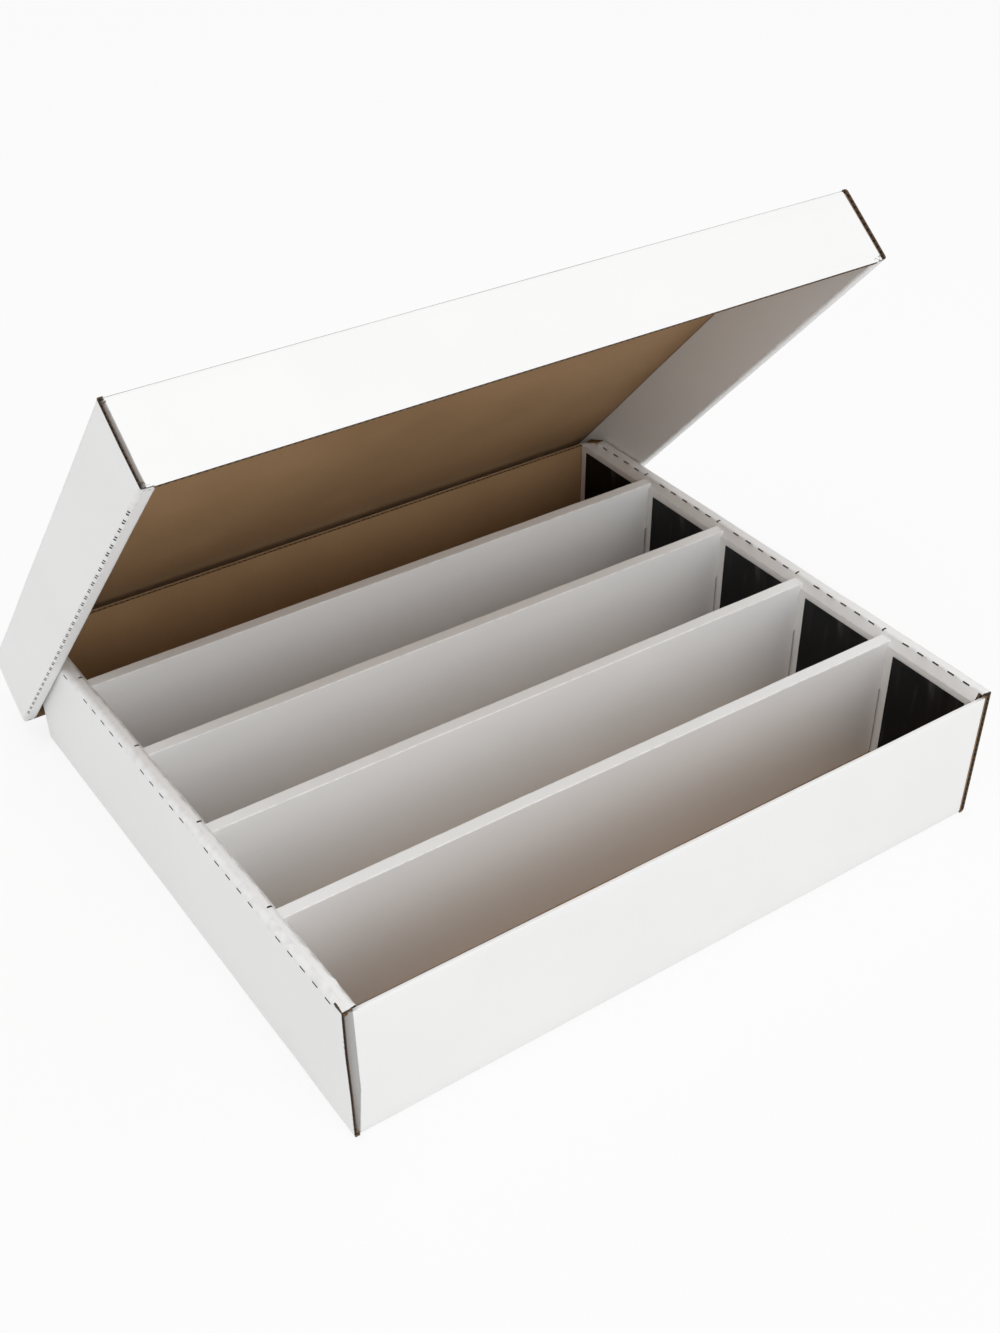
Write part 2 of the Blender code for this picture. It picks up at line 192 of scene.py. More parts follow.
print("paper_grain has", len(grain.nodes), "nodes")

# %% [markdown]
# ## Crease wear
# Where board is folded, its coat cracks and picks up dirt. Each sheet carries an attribute that is 1 on its
# folds, and a noise breaks it up, so that the wear comes and goes along a fold.

# %% Node group for crease wear
wear = bpy.data.node_groups.new("crease_wear", "ShaderNodeTree")
new_socket(wear, "Flat Board", "INPUT", "NodeSocketVector")
new_socket(wear, "Fold", "INPUT", "NodeSocketFloat", 0)
new_socket(wear, "Amount", "INPUT", "NodeSocketFloat", 0.5)
new_socket(wear, "Mask", "OUTPUT", "NodeSocketFloat")
wear_in = wear.nodes.new("NodeGroupInput")
wear_out = wear.nodes.new("NodeGroupOutput")
patches = wear.nodes.new("ShaderNodeTexNoise")
patches.inputs["Scale"].default_value = 160
patches.inputs["Detail"].default_value = 5
link(wear, wear_in, "Flat Board", patches, "Vector")
broken = wear.nodes.new("ShaderNodeMapRange")
broken.inputs["From Min"].default_value = 0.42
broken.inputs["From Max"].default_value = 0.66
link(wear, patches, 0, broken, "Value")
on_fold = maths(wear, "MULTIPLY", (broken, 0), (wear_in, "Fold"))
amount = maths(wear, "MULTIPLY", (on_fold, 0), (wear_in, "Amount"))
link(wear, amount, 0, wear_out, "Mask")
print("crease_wear has", len(wear.nodes), "nodes")

# %% [markdown]
# ## Finishes of the board
# The outside of the board is white and coated, matt with a soft sheen. The inside is bare kraft paper. At
# a cut edge the brown papers show, painted darker still as shade, because the light doesn't reach in between
# them. The bent front corner is painted grey as the shade in the hollow of its bend. The four could be
# separate node trees, but one helper keeps them alike: they differ only in colours, stripes and fibres.

# %% White, kraft, cut edge and painted shade on white
def ramp(tree, source, output, stops):
    """A colour ramp on a value."""
    node = tree.nodes.new("ShaderNodeValToRGB")
    while len(node.color_ramp.elements) < len(stops):
        node.color_ramp.elements.new(0.5)
    for element, (place, colour) in zip(node.color_ramp.elements, stops):
        element.position = place
        element.color = (*colour, 1)
    link(tree, source, output, node, "Fac")
    return node


def paper(name, tones, worn, stripes, fibres, wear_amount, rough, bump):
    """A paper finish: clouded tones, worn folds, fine grain and stripes."""
    material = bpy.data.materials.new(name)
    material.use_nodes = True
    tree = material.node_tree
    shader = tree.nodes["Principled BSDF"]
    flat = tree.nodes.new("ShaderNodeUVMap")
    flat.uv_map = "flat_board"
    fold = tree.nodes.new("ShaderNodeAttribute")
    fold.attribute_name = "fold"
    texture = tree.nodes.new("ShaderNodeGroup")
    texture.node_tree = grain
    texture.inputs["Stripes"].default_value = stripes
    texture.inputs["Fibres"].default_value = fibres
    link(tree, flat, "UV", texture, "Flat Board")
    wear_and_shade = tree.nodes.new("ShaderNodeGroup")
    wear_and_shade.node_tree = wear
    wear_and_shade.inputs["Amount"].default_value = wear_amount
    link(tree, flat, "UV", wear_and_shade, "Flat Board")
    link(tree, fold, "Fac", wear_and_shade, "Fold")
    colour = ramp(tree, texture, "Tone", tones)
    mixed = tree.nodes.new("ShaderNodeMix")
    mixed.data_type = "RGBA"
    link(tree, wear_and_shade, "Mask", mixed, "Factor")
    tree.links.new(colour.outputs["Color"], mixed.inputs[6])
    mixed.inputs[7].default_value = (*worn, 1)
    tree.links.new(mixed.outputs[2], shader.inputs["Base Color"])
    roughness = tree.nodes.new("ShaderNodeMapRange")
    roughness.inputs["To Min"].default_value = rough[0]
    roughness.inputs["To Max"].default_value = rough[1]
    link(tree, texture, "Fleck", roughness, "Value")
    link(tree, roughness, 0, shader, "Roughness")
    relief = tree.nodes.new("ShaderNodeBump")
    relief.inputs["Strength"].default_value = bump
    relief.inputs["Distance"].default_value = 0.0002
    link(tree, texture, "Height", relief, "Height")
    link(tree, relief, "Normal", shader, "Normal")
    return material


WHITE = paper(
    "white_liner",
    [(0.3, (0.825, 0.825, 0.82)), (0.9, (0.86, 0.86, 0.856))],
    (0.62, 0.61, 0.60), 0.15, 0.5, 0.4, (0.45, 0.62), 0.2,
)
KRAFT = paper(
    "kraft_liner",
    [(0.3, (0.300, 0.178, 0.084)), (0.6, (0.350, 0.210, 0.100)), (0.9, (0.400, 0.245, 0.120))],
    (0.42, 0.28, 0.16), 0.12, 0.9, 0.5, (0.70, 0.90), 0.4,
)
CUT_EDGE = paper(
    "cut_edge_paper",
    [(0.25, (0.030, 0.023, 0.018)), (0.8, (0.085, 0.062, 0.045))],
    (0.12, 0.09, 0.06), 0.0, 1.0, 0.3, (0.85, 0.95), 0.5,
)
# Painted shade: this grey white stands for the shade in the hollow where a loose corner bends in.
PAINTED_SHADE = paper(
    "painted_shade_liner",
    [(0.3, (0.36, 0.36, 0.36)), (0.9, (0.48, 0.48, 0.475))],
    (0.30, 0.29, 0.28), 0.6, 0.8, 0.5, (0.55, 0.75), 0.4,
)
print("finishes", WHITE.name, KRAFT.name, CUT_EDGE.name, PAINTED_SHADE.name)

# %% [markdown]
# ## Lines that fold
# A folded board is one line seen from its end, drawn by its corners, and swept along its width. One helper
# draws the parallel line of the board's other face, and another rounds the corners, because board can't
# fold to a sharp edge. Each line also says which of its points lie on a fold.

# %% Helpers for folded lines
FOLD_STEPS = 6
FOLD_MARGIN = 0.7  # the flat paper kept unworn next to a fold


def beside(corners, distance):
    """The corners of the line that runs at a distance to the left of a line."""
    ways = [(after - before).normalized() for before, after in zip(corners, corners[1:])]
    sides = [Vector((-way.y, way.x)) for way in ways]
    line = [corners[0] + sides[0] * distance]
    for place, before, after in zip(corners[1:-1], sides, sides[1:]):
        line.append(place + (before + after) * distance / (1 + before.dot(after)))
    line.append(corners[-1] + sides[-1] * distance)
    return line


def rounded(corners, radii):
    """Points of the line with its corners rounded, and the first and last point of each corner."""
    points = [corners[0]]
    marks = []
    for before, place, after, radius in zip(corners, corners[1:], corners[2:], radii):
        if radius == 0:
            marks.append((len(points), len(points)))
            points.append(place)
        else:
            back = (before - place).normalized()
            on = (after - place).normalized()
            half = back.angle(on) / 2
            centre = place + (back + on).normalized() * radius / math.sin(half)
            start = place + back * radius / math.tan(half) - centre
            stop = place + on * radius / math.tan(half) - centre
            swing = start.angle(stop)
            points.append(centre + start + back * FOLD_MARGIN)
            marks.append((len(points), len(points) + FOLD_STEPS))
            for step in range(FOLD_STEPS + 1):
                share = step / FOLD_STEPS
                arc = start * math.sin((1 - share) * swing) + stop * math.sin(share * swing)
                points.append(centre + arc / math.sin(swing))
            points.append(centre + stop + on * FOLD_MARGIN)
    points.append(corners[-1])
    return points, marks


print("a fold is drawn in", FOLD_STEPS, "steps")

# %% [markdown]
# ## Laying a sheet of paper
# A liner starts as a flat grid primitive, as paper comes off the roll. Its points are laid on the folded
# line, stop by stop along the width. Faces are deleted where a slot or a perforation is cut, and Solidify
# gives the paper its thickness, with the board's brown inside on its back and the dark cut edge on its rim.

# %% Helpers that lay and finish a sheet
WHITE_INDEX, KRAFT_INDEX, CUT_INDEX, PAINTED_SHADE_INDEX = range(4)
FACE_PAPERS = (WHITE_INDEX, KRAFT_INDEX, CUT_INDEX)
BACK_PAPERS = (KRAFT_INDEX, KRAFT_INDEX, CUT_INDEX)


def only(piece):
    """Select one piece and make it active."""
    bpy.ops.object.select_all(action="DESELECT")
    piece.select_set(True)
    bpy.context.view_layer.objects.active = piece


def in_edit_mode(piece, kind="FACE"):
    """Open a piece in edit mode with nothing selected."""
    only(piece)
    bpy.ops.object.mode_set(mode="EDIT")
    bpy.ops.mesh.select_mode(type=kind)
    bpy.ops.mesh.select_all(action="DESELECT")
    bpy.ops.object.mode_set(mode="OBJECT")


def delete_faces(piece, numbers):
    """Cut faces away in edit mode."""
    in_edit_mode(piece)
    for number in numbers:
        piece.data.polygons[number].select = True
    bpy.ops.object.mode_set(mode="EDIT")
    bpy.ops.mesh.delete(type="FACE")
    bpy.ops.object.mode_set(mode="OBJECT")


def lay_sheet(
    name, section, stops, place, outward, cuts=(), thickness=LINER, papers=FACE_PAPERS, shaded_span=(0, 0)
):
    """A sheet of paper laid on a folded line. section(stop) gives the line's points and marks.

    cuts are (first column, last column, start, stop); papers are the finishes of front, back and rim.
    """
    lines = [section(stop) for stop in stops]
    count = len(lines[0][0])
    bpy.ops.object.select_all(action="DESELECT")
    bpy.ops.mesh.primitive_grid_add(x_subdivisions=count - 1, y_subdivisions=len(stops) - 1)
    sheet = bpy.context.object
    sheet.name = name
    mesh = sheet.data
    along = [0.0]
    for before, after in zip(lines[0][0], lines[0][0][1:]):
        along.append(along[-1] + (after - before).length)
    folds = [0.0] * count
    for first, last in lines[0][1]:
        for index in range(first, last + 1):
            folds[index] = 1.0 if last > first else 0.0
    flat = mesh.uv_layers[0] if mesh.uv_layers else mesh.uv_layers.new()
    flat.name = "flat_board"
    fold = mesh.attributes.new("fold", "FLOAT", "POINT")
    for row, stop in enumerate(stops):
        for column, point in enumerate(lines[row][0]):
            number = row * count + column
            mesh.vertices[number].co = Vector(place(point, stop)) * MM
            fold.data[number].value = folds[column]
    for loop in mesh.loops:
        row, column = divmod(loop.vertex_index, count)
        flat.data[loop.index].uv = (along[column] * MM, stops[row] * MM)
    for material in (WHITE, KRAFT, CUT_EDGE, PAINTED_SHADE):
        mesh.materials.append(material)
    gone = set()
    for first, last, start, stop in cuts:
        for row in range(len(stops) - 1):
            middle = (stops[row] + stops[row + 1]) / 2
            if start < middle < stop:
                gone.update(row * (count - 1) + column for column in range(first, last))
    mesh.update()
    inside_out = mesh.polygons[0].normal.dot(Vector(outward)) < 0
    if gone:
        delete_faces(sheet, gone)
    only(sheet)
    bpy.ops.object.mode_set(mode="EDIT")
    bpy.ops.mesh.select_all(action="SELECT")
    if inside_out:
        bpy.ops.mesh.flip_normals()
    bpy.ops.object.mode_set(mode="OBJECT")
    flat_places = mesh.uv_layers["flat_board"].data
    for face in mesh.polygons:
        middle = sum(flat_places[loop].uv.x for loop in face.loop_indices) / len(face.loop_indices) / MM
        # Faces between the two given columns get the grey of painted shade, for the hollow of a loose bend.
        wear_and_shade = along[shaded_span[0]] < middle < along[shaded_span[1]]
        face.material_index = PAINTED_SHADE_INDEX if wear_and_shade else papers[0]
    solid = sheet.modifiers.new("paper", "SOLIDIFY")
    solid.thickness = thickness * MM
    solid.offset = -1
    solid.use_even_offset = False
    solid.material_offset = papers[1] - papers[0]
    solid.material_offset_rim = papers[2] - papers[0]
    bpy.ops.object.modifier_apply(modifier=solid.name)
    return sheet


def joined(name, sheets, angle=35):
    """Join sheets into one piece, shaded smooth on its gentle curves."""
    only(sheets[0])
    for sheet in sheets:
        sheet.select_set(True)
    if len(sheets) > 1:
        bpy.ops.object.join()
    piece = bpy.context.object
    piece.name = name
    bpy.ops.object.shade_smooth_by_angle(angle=math.radians(angle))
    print(name, len(piece.data.polygons), "faces")
    return piece


def stop_list(low, high, step, exact):
    """Stops from low to high that hit the exact ones and leave no stretch longer than a step."""
    fixed = sorted({low, high, *[round(v, 3) for v in exact if low < v < high]})
    stops = [fixed[0]]
    for before, after in zip(fixed, fixed[1:]):
        parts = max(1, math.ceil((after - before) / step))
        stops += [before + (after - before) * part / parts for part in range(1, parts + 1)]
    return stops


# %% [markdown]
# ## The wavy middle paper
# Between the liners runs a paper in waves. It only shows where the board is cut across its flutes, so
# it is laid for the first few millimetres at such an edge: a grid again, on the board's middle line, with each
# point pushed to one side and the other in turn.

# %% Helper for the middle paper
def lay_flutes(name, corners, radii, start, stop, place, inside=1):
    """Waves of paper along the board's middle line, from one stop to another."""
    line, _ = rounded(beside(corners, inside * BOARD / 2), radii)
    lengths = [(after - before).length for before, after in zip(line, line[1:])]
    total = sum(lengths)
    count = int(total / FLUTE * FLUTE_STEPS)
    height = (BOARD - 2 * LINER - MEDIUM) / 2
    waves = []
    segment, passed = 0, 0.0
    for number in range(count + 1):
        target = total * number / count
        while segment < len(lengths) - 1 and passed + lengths[segment] < target:
            passed += lengths[segment]
            segment += 1
        way = (line[segment + 1] - line[segment]).normalized()
        middle = line[segment] + way * (target - passed)
        push = height * math.sin(2 * math.pi * number / FLUTE_STEPS)
        waves.append(middle + Vector((-way.y, way.x)) * push)
    return lay_sheet(
        name, lambda s: (waves, []), [start, stop], place, (0, 0, 1), thickness=MEDIUM, papers=(CUT_INDEX,) * 3
    )


def board(name, corners_at, radii, inner_radii, stops, place, outward, cuts=(), inside=1):
    """Both liners of a folded board: its face, and its back on the inside of the folds."""
    def outer(stop):
        return rounded(corners_at(stop), radii)

    def inner(stop):
        return rounded(beside(corners_at(stop), inside * BOARD), inner_radii)

    back = tuple(-v for v in outward)
    return [
        lay_sheet(name + "_face", outer, stops, place, outward, cuts),
        lay_sheet(name + "_back", inner, stops, place, back, cuts, papers=BACK_PAPERS),
    ]


# %% [markdown]
# ## The tray's end walls
# Each end wall is one strip of the tray's blank. It stands up from the floor, rolls over at the top and comes
# back down inside, so the white outside of the board also faces the rows. The two folds at the top are
# perforated, which shows as short dark dashes, five to a row of cards. Slots let the dividers' tabs in. The
# left wall's front edge is crushed thin, and its outer fold is rounder than the right wall's.

# %% Where the dashes and slots are
ROWS = 5
ROW_PITCH = 85.8
ROW_MIDDLES = [(2 - row) * ROW_PITCH for row in range(ROWS)]
DIVIDER_MIDDLES = [(1.5 - row) * ROW_PITCH for row in range(ROWS - 1)]
DASH_PITCH = 13.5
DASH_LENGTH = 5.6
SLOT_HALF = 5.1
SLOT_BACK_HALF = 5.6
SLOT_FOOT = 57.5


def dashes(middles, length=DASH_LENGTH):
    """Start and stop of each perforation along a fold."""
    starts = [middle + (step - 2) * DASH_PITCH - length / 2 for middle in middles for step in range(5)]
    return [(start, start + length) for start in starts]


def bridge(y):
    """1 in the middle of the paper left between two dashes, falling to 0 at the dashes."""
    for middle in ROW_MIDDLES:
        if abs(y - middle) < 2.5 * DASH_PITCH:
            off = abs((y - middle) % DASH_PITCH - DASH_PITCH / 2)
            strength = 0.6 + noise.noise(Vector((y / 9, 0, 0)))
            return max(0.0, 1 - off / (DASH_PITCH / 2 - DASH_LENGTH / 2)) * strength
    return 0.0


crest_dashes = dashes(ROW_MIDDLES)
bridge_middles = [start - (DASH_PITCH - DASH_LENGTH) / 2 for start, stop in crest_dashes]
slots = [(middle - SLOT_HALF, middle + SLOT_BACK_HALF) for middle in DIVIDER_MIDDLES]
slits = [(middle + 4.4, middle + SLOT_BACK_HALF + 0.2) for middle in DIVIDER_MIDDLES]
print(len(crest_dashes), "dashes and", len(slots), "slots on each end wall")

# %% Fold the two end walls
LEAN_X = CREST_X - FOOT_X
FLOOR_EDGE_X = 236.3
SLIT_X = 237.2
CRUSHED_DEPTH = 7.0


def ripple(y, z, size):
    """A shallow unevenness of hand-folded board."""
    return size * noise.noise(Vector((y / 70, z / 45, 3.1)))


def crushed(depth, from_edge):
    """How far a point at a depth in the board is pressed outward near an edge that the die crushed."""
    if not 0 < depth < BOARD + 0.2:
        return 0.0
    return 0.6 * depth * max(0.0, 1 - from_edge / CRUSHED_DEPTH)


def end_wall_corners(_stop):
    """Corners of the end wall's face, from under the floor to the foot of the inner ply."""
    return [
        Vector((FLOOR_EDGE_X, 0)),
        Vector((FOOT_X, 0)),
        Vector((FOOT_X + LEAN_X * 0.33, CREST_Z * 0.33)),
        Vector((FOOT_X + LEAN_X * 0.66, CREST_Z * 0.66)),
        Vector((CREST_X, CREST_Z)),
        Vector((SLIT_X, CREST_Z)),
        Vector((FLAT_END_X, CREST_Z)),
        Vector((PLY_X, SHOULDER_Z)),
        Vector((PLY_X, SLOT_FOOT)),
        Vector((PLY_X, 30)),
        Vector((PLY_X, FOOT_Z + 0.1)),
    ]


END_RADII = {-1: [2.4, 0, 0, 4.2, 0, 2.0, 2.5, 0, 0], 1: [2.4, 0, 0, 1.7, 0, 2.0, 2.5, 0, 0]}
END_INNER_RADII = {-1: [0.5, 0, 0, 1.4, 0, 0.6, 0.8, 0, 0], 1: [0.5, 0, 0, 0.5, 0, 0.6, 0.8, 0, 0]}
RELIEF_LOW = Vector((0, FACE_Y, WALL_TOP)) * MM
RELIEF_HIGH_Y = 194.36
RELIEF_NORMAL = Vector((0, CREST_Z - WALL_TOP, FACE_Y - RELIEF_HIGH_Y)).normalized()
end_marks = rounded(end_wall_corners(0), END_RADII[1])[1]
outer_fold, slit_point, inner_fold, shoulder = end_marks[3:7]
slot_foot = end_marks[7][0]
last_point = end_marks[-1][1] + 1
print("fold points", end_marks)
end_stops = stop_list(
    -FACE_Y, FACE_Y, 11,
    [v for pair in crest_dashes + slots + slits for v in pair] + bridge_middles
    + [-PLY_END_Y, PLY_END_Y, -FACE_Y + CRUSHED_DEPTH, FACE_Y - FLUTE_DEPTH],
)


def end_wall(side, name):
    """One end wall of the tray; side is -1 on the left."""
    def place(point, y):
        across = point.x + ripple(y + 200 * side, point.y, 0.5)
        up = point.y
        if side < 0:
            across += crushed(FOOT_X + LEAN_X * point.y / CREST_Z - point.x, y + FACE_Y)
            up += crushed(CREST_Z - point.y, y + FACE_Y)
        if point.y > SHOULDER_Z:
            up -= 0.35 * (1 + noise.noise(Vector((y / 40, side * 3, 0))))
            row_side = max(0.0, 1 - abs(point.x - FLAT_END_X) / 3.5)
            front_end = max(0.0, (-150 - y) / 63)
            torn = 0.4 + (1.6 * front_end if side < 0 else 0.0)
            up += row_side * (1.2 * front_end + (1.1 if side > 0 else 0.4) * bridge(y))
            pushed = (1.2 if side > 0 else 0.5) * bridge(y)
            pushed += torn * noise.noise(Vector((y / 5, 5 * side, 1.7)))
            across -= row_side * pushed
        return side * across, y, up

    radii, inner_radii = END_RADII[side], END_INNER_RADII[side]
    outer_dash = (outer_fold[0], outer_fold[0] + 1) if side < 0 else (outer_fold[0] + 1, outer_fold[0] + 4)
    inner_dash = (inner_fold[1] - (1 if side < 0 else 3), inner_fold[1])
    cuts = [(slot_foot, inner_fold[1], start, stop) for start, stop in slots]
    cuts += [(slit_point[0], inner_fold[1], start, stop) for start, stop in slits]
    cuts += [(*outer_dash, start, stop) for start, stop in crest_dashes]
    cuts += [(*inner_dash, start, stop) for start, stop in crest_dashes]
    cuts += [(inner_fold[1], last_point, -FACE_Y, -PLY_END_Y), (shoulder[1], last_point, PLY_END_Y, FACE_Y)]
    sheets = board(name, end_wall_corners, radii, inner_radii, end_stops, place, (0, 0, -1), cuts)
    corners = end_wall_corners(0)
    for line, line_radii, start, stop in (
        (corners[:7], inner_radii[:5], -FACE_Y, -FACE_Y + FLUTE_DEPTH),
        (corners[6:9], inner_radii[6:7], -PLY_END_Y, -FACE_Y + FLUTE_DEPTH),
        (corners[:8], inner_radii[:6], FACE_Y - FLUTE_DEPTH, FACE_Y),
    ):
        sheets.append(lay_flutes(name + "_waves", line, line_radii, start, stop, place))
    wall = joined(name, sheets)
    in_edit_mode(wall)
    bpy.ops.object.mode_set(mode="EDIT")
    bpy.ops.mesh.select_all(action="SELECT")
    bpy.ops.mesh.bisect(plane_co=RELIEF_LOW, plane_no=RELIEF_NORMAL, clear_outer=True, use_fill=True)
    bpy.ops.object.mode_set(mode="OBJECT")
    return wall


for side, end in ((-1, "left"), (1, "right")):
    wall = end_wall(side, f"tray_{end}_end_board")
    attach(wall, "tray")
    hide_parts(f"tray_{end}_outer_ply", f"tray_{end}_roll_band", f"tray_{end}_inner_ply")

# %% [markdown]
# ## The tray's floor
# The floor is flat, white underneath and kraft inside. Its edges meet the rounded feet of the four walls.

# %% Lay the floor
def floor_section(_stop):
    """A straight line across the floor."""
    return [Vector((FLOOR_EDGE_X * (part / 12 - 1), 0)) for part in range(25)], []


floor_stops = stop_list(-210.6, 210.6, 20, [])
floor_sheets = [
    lay_sheet("floor_face", floor_section, floor_stops, lambda p, y: (p.x, y, 0), (0, 0, -1)),
    lay_sheet(
        "floor_back", floor_section, floor_stops,
        lambda p, y: (p.x, y, BOARD + 0.15 * noise.noise(Vector((p.x / 50, y / 50, 0)))),
        (0, 0, 1), papers=BACK_PAPERS,
    ),
]
tray_floor = joined("tray_floor_board", floor_sheets)
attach(tray_floor, "tray")
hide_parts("tray_floor")

# %% [markdown]
# ## The tray's front and back walls
# Each long wall carries a tab at both ends, folded back between the plies of the end wall. Seen from above,
# wall and tabs are one line, and it is swept up from the floor. The front left corner was folded loosely: its
# bend is wide above and narrow at the floor, a wedge painted grey as the shade in its hollow. The front wall
# also stands 3 mm higher than its solid, where the photograph has its top, and its crushed top edge rolls
# over.

# %% Fold the long walls
TAB_FOOT_X = 236.6
TAB_TOP = CREST_Z - 13.0
TAB_END_Y = 149.2
WALL_POINTS = 24
FOOT_ROUND = 2.4


def foot_shift(z):
    """How far the rounded foot of a wall draws in at a level."""
    if z >= FOOT_ROUND:
        return 0.0
    return FOOT_ROUND - math.sqrt(FOOT_ROUND ** 2 - (FOOT_ROUND - z) ** 2)


RIM_WRAP = 1.9
RIM_ROUND = 1.2
RIM_IN = 0.7
BEND_START = 8
BEND_DEPTH = 2.6
FRONT_LIFT = 2.9
FRONT_LIFT_SLOPE = 0.4 / 236


def rim_roll(z):
    """Where the die crushed the top edge, the face rolls over it: how far in, and at what level."""
    above = z - (WALL_TOP - RIM_ROUND)
    if above <= 0:
        return 0.0, z
    if z <= WALL_TOP:
        share = above / RIM_ROUND
        return RIM_IN * share ** 2, WALL_TOP - RIM_ROUND + RIM_ROUND * math.sin(math.pi / 2 * share)
    return RIM_IN + z - WALL_TOP, WALL_TOP - 0.1 * (z - WALL_TOP)


def left_bend(half, face, out, width):
    """The left corner of a long wall seen from above: the tab, and a facet where the board bends."""
    return [
        Vector((-half, face - BEND_START)), Vector((-half - out, face - BEND_DEPTH)),
        Vector((-half - out + width, face)),
    ]


def long_wall(name, facing, loose):
    """A long wall with its tabs; facing is -1 for the front, loose opens its left bend and lifts its top."""
    def corners_at(z, more=0.0):
        level = min(z, WALL_TOP)
        half = TAB_FOOT_X + LEAN_X * level / CREST_Z
        wall = [Vector((half * (2 * part / WALL_POINTS - 1), FACE_Y)) for part in range(1, WALL_POINTS + 1)]
        width = 1.2 + 3.4 * min(1.0, level / 35) if loose else 2.0
        bend = left_bend(half, FACE_Y, 1.3 if loose else 0.0, width + more)
        return [Vector((-half, TAB_END_Y)), *bend, *wall, Vector((half, TAB_END_Y))]

    radii = [0, 0.5, 0.7] + [0] * (WALL_POINTS - 1) + [2.0]
    inner_radii = [0, 0.3, 0.3] + [0] * (WALL_POINTS - 1) + [0.6]

    def place(point, z):
        y = point.y
        shift, z = rim_roll(z)
        shift += foot_shift(z)
        bow = 0.5 * math.sin(math.pi * (point.x / 480 + 0.5)) * z / WALL_TOP
        if y > FACE_Y - 4:
            y -= shift + bow * 0.6 + 0.25 * noise.noise(Vector((point.x / 60, z / 50, facing)))
            if loose:
                z *= 1 + (FRONT_LIFT - FRONT_LIFT_SLOPE * point.x) / WALL_TOP
        return point.x, facing * y, z

    stops = stop_list(0, WALL_TOP - RIM_ROUND, 12, [0.6, 1.4, FOOT_ROUND, TAB_TOP])
    cuts = []
    marks = rounded(corners_at(0), radii)[1]
    left_fold, right_fold = marks[1], marks[-1]
    last = right_fold[1] + 2
    for start, stop in ((TAB_TOP, WALL_TOP + RIM_WRAP), (0, FOOT_Z)):
        cuts += [(0, left_fold[0] + 1, start, stop), (right_fold[1] - 1, last, start, stop)]

    def outer(z):
        return rounded(corners_at(z), radii)

    def inner(z):
        return rounded(beside(corners_at(z, BOARD), -BOARD), inner_radii)

    rim = [WALL_TOP - 0.4, WALL_TOP] + ([WALL_TOP + RIM_WRAP] if loose else [])
    # The loose bend's faces get painted shade, grey for the hollow of the bend.
    shaded_span = (marks[1][0], marks[2][1]) if loose else (0, 0)
    edge = CUT_INDEX if loose else KRAFT_INDEX
    sheets = [
        lay_sheet(
            name + "_face", outer, stops + rim, place, (-1, 0, 0), cuts,
            papers=(WHITE_INDEX, KRAFT_INDEX, edge), shaded_span=shaded_span,
        ),
        lay_sheet(
            name + "_back", inner, stops + [WALL_TOP - 0.9], place, (1, 0, 0), cuts,
            papers=(KRAFT_INDEX, KRAFT_INDEX, edge),
        ),
    ]
    top_line = corners_at(WALL_TOP)[3:-1]
    waves_top = WALL_TOP - RIM_ROUND
    sheets.append(
        lay_flutes(
            name + "_waves", top_line, [0] * (WALL_POINTS - 1), waves_top - FLUTE_DEPTH, waves_top, place,
            inside=-1,
        )
    )
    return joined(name, sheets)


front_wall = long_wall("tray_front_board", -1, True)
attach(front_wall, "tray")
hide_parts("tray_front_wall", "tray_corner_tab_front_left", "tray_corner_tab_front_right")
back_wall = long_wall("tray_back_board", 1, False)
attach(back_wall, "tray")
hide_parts("tray_back_wall", "tray_corner_tab_back_left", "tray_corner_tab_back_right")

# %% [markdown]
# ## The divider walls
# A divider is one strip folded over a hollow: a leaf, a flat top and a second leaf. Its ends carry tabs that
# drop into the slots. All four are alike, so one is folded and then copied, each copy with its own mesh.

# %% Fold one divider and copy it
DIVIDER_TOP = corner("divider_1_top_fold", 1).z
DIVIDER_END = 229.0
DIVIDER_HALF = 4.5
TAB_REACH = corner("divider_1_top_fold", 1).x
TAB_FOOT = DIVIDER_TOP - 40.0


def divider_corners(_stop):
    """Corners of a divider's face seen from its end, from the front foot to the back foot."""
    half, levels = DIVIDER_HALF, (FOOT_Z, 30, TAB_FOOT, DIVIDER_TOP)
    return [Vector((half, z)) for z in levels] + [Vector((-half, z)) for z in reversed(levels)]


divider_radii = [0, 0, 0.7, 0.7, 0, 0]
divider_inner_radii = [0, 0, 0.3, 0.3, 0, 0]
divider_marks = rounded(divider_corners(0), divider_radii)[1]
tab_low, tab_high = divider_marks[1][0], divider_marks[4][0]
divider_last = divider_marks[-1][1] + 1
divider_stops = stop_list(-TAB_REACH, TAB_REACH, 16, [-DIVIDER_END, DIVIDER_END])


def divider_place(point, x):
    """A divider's points, slightly bowed and uneven as folded board is."""
    bow = 0.45 * math.cos(math.pi * x / 470)
    sag = 0.3 * noise.noise(Vector((x / 45, 0, 2.2)))
    uneven = 0.25 * noise.noise(Vector((x / 50, point.y / 35, 8.5)))
    return x, point.x + bow + uneven, point.y + (sag - 0.2 if point.y > DIVIDER_TOP - 3 else 0)


foot_cuts = []
for start, stop in ((-TAB_REACH, -DIVIDER_END), (DIVIDER_END, TAB_REACH)):
    foot_cuts += [(0, tab_low, start, stop), (tab_high, divider_last, start, stop)]
divider_sheets = board(
    "divider", divider_corners, divider_radii, divider_inner_radii, divider_stops, divider_place,
    (0, 1, 0), foot_cuts,
)
tab_line = [
    Vector((DIVIDER_HALF, TAB_FOOT + 0.3)), Vector((DIVIDER_HALF, DIVIDER_TOP)),
    Vector((-DIVIDER_HALF, DIVIDER_TOP)), Vector((-DIVIDER_HALF, TAB_FOOT + 0.3)),
]
for start, stop in ((-TAB_REACH, -TAB_REACH + FLUTE_DEPTH), (TAB_REACH - FLUTE_DEPTH, TAB_REACH)):
    divider_sheets.append(lay_flutes("divider_waves", tab_line, [0.6, 0.6], start, stop, divider_place))
